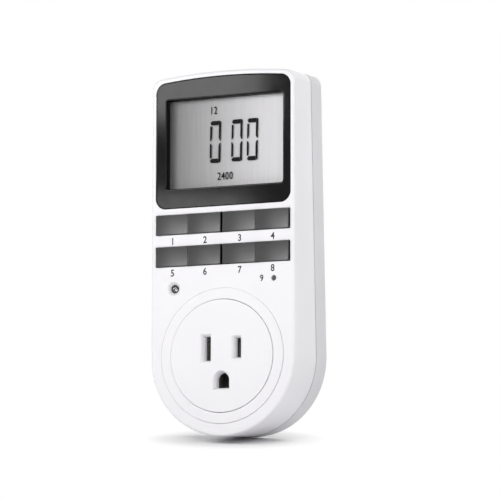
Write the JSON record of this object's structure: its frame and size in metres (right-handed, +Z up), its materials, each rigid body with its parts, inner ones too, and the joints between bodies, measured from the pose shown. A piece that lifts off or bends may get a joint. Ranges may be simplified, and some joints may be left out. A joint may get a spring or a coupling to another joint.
{
  "type": "digital plug-in timer",
  "caption": "Plug-in mains timer with a display, two rows of keys, an indicator lamp and a grounded outlet on its leaning front, and plug blades on its back.",
  "frame": {"origin": "on the rear face that meets the wall, midway between the two flat plug blades", "axes": "+X to the right as seen from the front, +Y from the front through the body into the wall, +Z up"},
  "size_m": [0.06, 0.0512, 0.138],
  "materials": {
    "white_shell": "moulded ABS, fine satin",
    "white_rear_shell": "moulded ABS, fine satin",
    "black_panel": "high gloss",
    "display_glass": "polariser film over glass",
    "white_frame": "moulded",
    "conductive_rubber": "matt",
    "board_laminate": "solder mask",
    "zinc_screw": "zinc plated",
    "black_resin": "matt",
    "silicone_mat": "matt",
    "grey_key": "satin",
    "clear_lamp": "clear epoxy",
    "grey_button": "satin",
    "brass_contact": "stamped",
    "nickel_plug": "nickel plated brass",
    "relay_cover": "moulded",
    "relay_iron": "stamped",
    "copper_coil": "enamelled wire",
    "yellow_film": "moulded",
    "can_sleeve": "shrunk sleeve",
    "blue_varistor": "dipped",
    "steel_can": "drawn can",
    "grey_ribbon": "extruded",
    "lead_sleeve": "extruded"
  },
  "bodies": {
    "timer_body": {"backup_cell": "steel_can", "blade_retainer": "white_frame", "contact_carrier": "white_frame", "control_board": "board_laminate", "control_board_screws": "zinc_screw", "control_chip": "black_resin", "crystal": "steel_can", "display_bezel": "black_panel", "film_capacitor": "yellow_film", "front_housing": "white_shell", "ground_contact": "brass_contact", "ground_pin": "nickel_plug", "housing_screws": "zinc_screw", "indicator_lamp": "clear_lamp", "key_mat": "silicone_mat", "lcd_cell": "display_glass", "lcd_holder": "white_frame", "line_blade": "nickel_plug", "line_contact": "brass_contact", "neutral_blade": "nickel_plug", "neutral_contact": "brass_contact", "outlet_face": "white_shell", "power_board": "board_laminate", "power_board_screws": "zinc_screw", "rear_housing": "white_rear_shell", "rectifier_diodes": "black_resin", "relay_base": "black_resin", "relay_case": "relay_cover", "relay_coil": "copper_coil", "relay_contacts": "brass_contact", "relay_yoke": "relay_iron", "reset_switch": "black_resin", "ribbon_cable": "grey_ribbon", "smoothing_capacitor": "can_sleeve", "supply_leads": "lead_sleeve", "surge_varistor": "blue_varistor", "zebra_strips": "conductive_rubber"},
    "key_1": {"key_1": "grey_key"},
    "key_2": {"key_2": "grey_key"},
    "key_3": {"key_3": "grey_key"},
    "key_4": {"key_4": "grey_key"},
    "key_5": {"key_5": "grey_key"},
    "key_6": {"key_6": "grey_key"},
    "key_7": {"key_7": "grey_key"},
    "key_8": {"key_8": "grey_key"},
    "reset_button": {"reset_button": "grey_button"},
    "relay_armature": {"relay_armature": "relay_iron"}
  },
  "joints": [
    {"name": "key_1_press", "type": "slide", "parent": "timer_body", "child": "key_1", "axis": [0, 0.999, -0.0454], "range_m": [0, 0.0008], "stiffness_N_per_m": 700, "deforming": ["key_mat"]},
    {"name": "key_2_press", "type": "slide", "parent": "timer_body", "child": "key_2", "axis": [0, 0.999, -0.0454], "range_m": [0, 0.0008], "stiffness_N_per_m": 700, "deforming": ["key_mat"]},
    {"name": "key_3_press", "type": "slide", "parent": "timer_body", "child": "key_3", "axis": [0, 0.999, -0.0454], "range_m": [0, 0.0008], "stiffness_N_per_m": 700, "deforming": ["key_mat"]},
    {"name": "key_4_press", "type": "slide", "parent": "timer_body", "child": "key_4", "axis": [0, 0.999, -0.0454], "range_m": [0, 0.0008], "stiffness_N_per_m": 700, "deforming": ["key_mat"]},
    {"name": "key_5_press", "type": "slide", "parent": "timer_body", "child": "key_5", "axis": [0, 0.999, -0.0454], "range_m": [0, 0.0008], "stiffness_N_per_m": 700, "deforming": ["key_mat"]},
    {"name": "key_6_press", "type": "slide", "parent": "timer_body", "child": "key_6", "axis": [0, 0.999, -0.0454], "range_m": [0, 0.0008], "stiffness_N_per_m": 700, "deforming": ["key_mat"]},
    {"name": "key_7_press", "type": "slide", "parent": "timer_body", "child": "key_7", "axis": [0, 0.999, -0.0454], "range_m": [0, 0.0008], "stiffness_N_per_m": 700, "deforming": ["key_mat"]},
    {"name": "key_8_press", "type": "slide", "parent": "timer_body", "child": "key_8", "axis": [0, 0.999, -0.0454], "range_m": [0, 0.0008], "stiffness_N_per_m": 700, "deforming": ["key_mat"]},
    {"name": "reset_press", "type": "slide", "parent": "timer_body", "child": "reset_button", "axis": [0, 0.999, -0.0454], "range_m": [0, 0.0005], "stiffness_N_per_m": 700},
    {"name": "relay_armature_pivot", "type": "hinge", "parent": "timer_body", "child": "relay_armature", "pos_m": [0.01569, -0.00775, 0.037], "axis": [0, 0, 1], "range_deg": [-5, 0], "stiffness_Nm_per_rad": 0.04}
  ]
}
